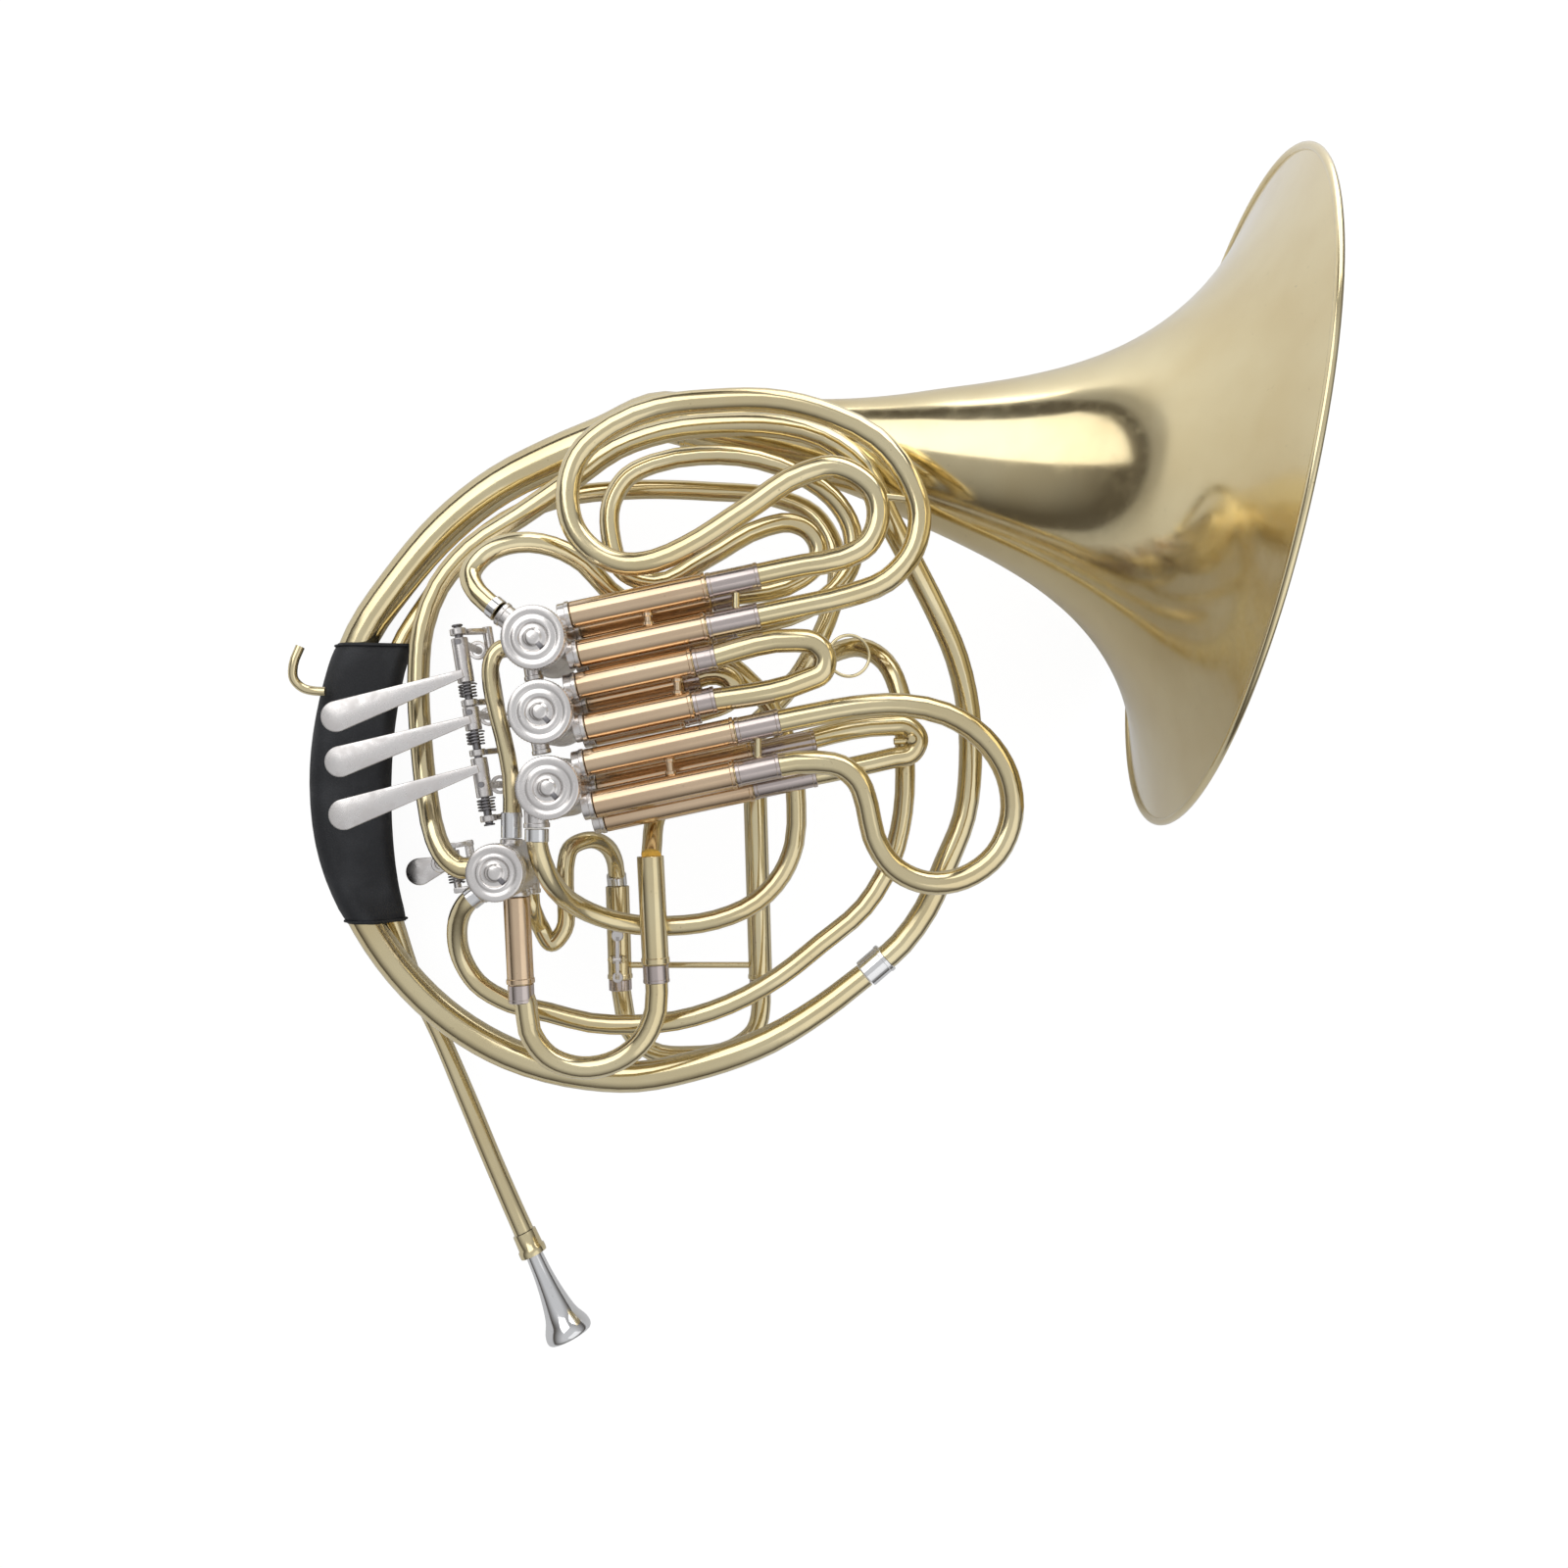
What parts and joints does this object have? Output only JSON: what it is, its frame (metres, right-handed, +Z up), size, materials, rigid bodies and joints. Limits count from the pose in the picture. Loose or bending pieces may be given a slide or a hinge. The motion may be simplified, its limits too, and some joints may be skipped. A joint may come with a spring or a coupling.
{
  "type": "double french horn",
  "caption": "Coiled brass horn with a wide flared bell, rotary valves worked by finger and thumb levers, pull-out tuning slides, a leather hand guard and a cup mouthpiece.",
  "frame": {"origin": "bottom centre of the bounding box, on the surface that the horn lies on", "axes": "+Z up; +X towards the open bell; +Y from the mouthpiece end to the top of the body"},
  "size_m": [0.4926, 0.5922, 0.3017],
  "materials": {
    "brass": "lacquered, mirror-bright yellow brass",
    "rose_brass": "lacquered gold brass",
    "nickel_silver": "polished nickel silver",
    "silver": "bright silver plate",
    "spring_steel": "blued spring steel",
    "leather": "black leather, satin"
  },
  "bodies": {
    "horn": {"b1_sleeves": "rose_brass", "b2_sleeves": "rose_brass", "b3_sleeves": "rose_brass", "bell": "brass", "bell_tail": "brass", "cap_1": "nickel_silver", "cap_2": "nickel_silver", "cap_3": "nickel_silver", "cap_change": "nickel_silver", "casing_1": "nickel_silver", "casing_2": "nickel_silver", "casing_3": "nickel_silver", "casing_change": "nickel_silver", "f1_sleeves": "rose_brass", "f2_sleeves": "rose_brass", "f3_sleeves": "rose_brass", "f_branch": "brass", "f_feed_tube": "brass", "first_branch": "brass", "hand_guard": "leather", "hinge_rod": "spring_steel", "leadpipe": "brass", "lever_cradle": "nickel_silver", "lever_spring_1": "spring_steel", "lever_spring_2": "spring_steel", "lever_spring_3": "spring_steel", "main_sleeve": "brass", "mouthpiece_receiver": "brass", "pinky_hook": "brass", "rear_slide_sleeves": "brass", "riser_tube": "brass", "thumb_bracket": "nickel_silver", "thumb_spring": "spring_steel", "valve_link_tube": "brass"},
    "rotor_3_body": {"rotor_3": "brass", "stop_arm_3": "nickel_silver"},
    "link_3_body": {"link_bar_3": "nickel_silver"},
    "rotor_2_body": {"rotor_2": "brass", "stop_arm_2": "nickel_silver"},
    "link_2_body": {"link_bar_2": "nickel_silver"},
    "rotor_1_body": {"rotor_1": "brass", "stop_arm_1": "nickel_silver"},
    "link_1_body": {"link_bar_1": "nickel_silver"},
    "rotor_change_body": {"rotor_change": "brass", "stop_arm_change": "nickel_silver"},
    "link_change_body": {"link_bar_change": "nickel_silver"},
    "finger_lever_3_body": {"finger_lever_3": "nickel_silver"},
    "finger_lever_2_body": {"finger_lever_2": "nickel_silver"},
    "finger_lever_1_body": {"finger_lever_1": "nickel_silver"},
    "thumb_lever_body": {"thumb_lever": "nickel_silver"},
    "f3_slide_body": {"f3_slide": "brass"},
    "f2_slide_body": {"f2_slide": "brass"},
    "f1_slide_body": {"f1_slide": "brass"},
    "b3_slide_body": {"b3_slide": "brass"},
    "b2_slide_body": {"b2_slide": "brass"},
    "b1_slide_body": {"b1_slide": "brass"},
    "main_slide_body": {"main_tuning_slide": "brass"},
    "rear_slide_body": {"rear_tuning_slide": "brass"},
    "mouthpiece_body": {"mouthpiece": "silver"},
    "water_key_body": {"water_key": "nickel_silver"}
  },
  "joints": [
    {"name": "lever_3_press", "type": "hinge", "parent": "horn", "child": "finger_lever_3_body", "pos_m": [-0.16596, 0.04595, 0.07788], "axis": [0.1538, -0.9811, 0.1176], "range_deg": [0, 13], "stiffness_Nm_per_rad": 0.12, "springref_deg": -14.32},
    {"name": "lever_2_press", "type": "hinge", "parent": "horn", "child": "finger_lever_2_body", "pos_m": [-0.16263, 0.02476, 0.08042], "axis": [0.1538, -0.9811, 0.1176], "range_deg": [0, 13], "stiffness_Nm_per_rad": 0.12, "springref_deg": -14.32},
    {"name": "lever_1_press", "type": "hinge", "parent": "horn", "child": "finger_lever_1_body", "pos_m": [-0.1591, 0.00219, 0.08312], "axis": [0.1538, -0.9811, 0.1176], "range_deg": [0, 13], "stiffness_Nm_per_rad": 0.12, "springref_deg": -14.32},
    {"name": "thumb_lever_press", "type": "hinge", "parent": "horn", "child": "thumb_lever_body", "pos_m": [-0.16682, -0.04903, 0.01718], "axis": [-0.1538, 0.9811, -0.1176], "range_deg": [0, 19.1], "stiffness_Nm_per_rad": 0.08, "springref_deg": -20.05},
    {"name": "link_3_travel", "type": "slide", "parent": "horn", "child": "link_3_body", "axis": [0.9426, 0.1814, 0.2803], "range_m": [0, 0.0085]},
    {"name": "rotor_3_turn", "type": "hinge", "parent": "horn", "child": "rotor_3_body", "pos_m": [-0.12248, 0.05879, 0.0611], "axis": [0.2964, -0.0678, -0.9527], "range_deg": [0, 90]},
    {"name": "link_2_travel", "type": "slide", "parent": "horn", "child": "link_2_body", "axis": [0.9426, 0.1814, 0.2803], "range_m": [0, 0.0085]},
    {"name": "rotor_2_turn", "type": "hinge", "parent": "horn", "child": "rotor_2_body", "pos_m": [-0.11961, 0.02584, 0.06433], "axis": [0.2964, -0.0678, -0.9527], "range_deg": [0, 90]},
    {"name": "link_1_travel", "type": "slide", "parent": "horn", "child": "link_1_body", "axis": [0.9426, 0.1814, 0.2803], "range_m": [0, 0.0085]},
    {"name": "rotor_1_turn", "type": "hinge", "parent": "horn", "child": "rotor_1_body", "pos_m": [-0.11627, -0.0079, 0.06777], "axis": [0.2964, -0.0678, -0.9527], "range_deg": [0, 90]},
    {"name": "link_change_travel", "type": "slide", "parent": "horn", "child": "link_change_body", "axis": [0.9426, 0.1814, 0.2803], "range_m": [0, 0.0085]},
    {"name": "rotor_change_turn", "type": "hinge", "parent": "horn", "child": "rotor_change_body", "pos_m": [-0.13871, -0.0462, 0.06352], "axis": [0.2964, -0.0678, -0.9527], "range_deg": [0, 90]},
    {"name": "f3_slide_pull", "type": "slide", "parent": "horn", "child": "f3_slide_body", "axis": [0.9342, 0.228, 0.2744], "range_m": [0, 0.03]},
    {"name": "f2_slide_pull", "type": "slide", "parent": "horn", "child": "f2_slide_body", "axis": [0.9342, 0.228, 0.2744], "range_m": [0, 0.025]},
    {"name": "f1_slide_pull", "type": "slide", "parent": "horn", "child": "f1_slide_body", "axis": [0.9342, 0.228, 0.2744], "range_m": [0, 0.035]},
    {"name": "b3_slide_pull", "type": "slide", "parent": "horn", "child": "b3_slide_body", "axis": [0.9342, 0.228, 0.2744], "range_m": [0, 0.008]},
    {"name": "b2_slide_pull", "type": "slide", "parent": "horn", "child": "b2_slide_body", "axis": [0.9342, 0.228, 0.2744], "range_m": [0, 0.02]},
    {"name": "b1_slide_pull", "type": "slide", "parent": "horn", "child": "b1_slide_body", "axis": [0.9342, 0.228, 0.2744], "range_m": [0, 0.03]},
    {"name": "main_slide_pull", "type": "slide", "parent": "horn", "child": "main_slide_body", "axis": [0.0477, -0.9952, 0.0857], "range_m": [0, 0.03]},
    {"name": "rear_slide_pull", "type": "slide", "parent": "horn", "child": "rear_slide_body", "axis": [0.0286, -0.9964, 0.0798], "range_m": [0, 0.025]},
    {"name": "mouthpiece_pull", "type": "slide", "parent": "horn", "child": "mouthpiece_body", "axis": [0.3882, -0.8879, 0.2469], "range_m": [0, 0.025]},
    {"name": "water_key_open", "type": "hinge", "parent": "horn", "child": "water_key_body", "pos_m": [-0.08664, -0.09797, 0.04582], "axis": [-0.9551, -0.021, -0.2956], "range_deg": [0, 12], "stiffness_Nm_per_rad": 0.02, "springref_deg": -28.65}
  ],
  "couplings": [
    {"joint": "link_3_travel", "follows": "lever_3_press", "m_per_rad": 0.03742},
    {"joint": "rotor_3_turn", "follows": "lever_3_press", "ratio": 6.9223},
    {"joint": "link_2_travel", "follows": "lever_2_press", "m_per_rad": 0.03742},
    {"joint": "rotor_2_turn", "follows": "lever_2_press", "ratio": 6.9223},
    {"joint": "link_1_travel", "follows": "lever_1_press", "m_per_rad": 0.03742},
    {"joint": "rotor_1_turn", "follows": "lever_1_press", "ratio": 6.9223},
    {"joint": "link_change_travel", "follows": "thumb_lever_press", "m_per_rad": 0.02547},
    {"joint": "rotor_change_turn", "follows": "thumb_lever_press", "ratio": 4.7115}
  ]
}
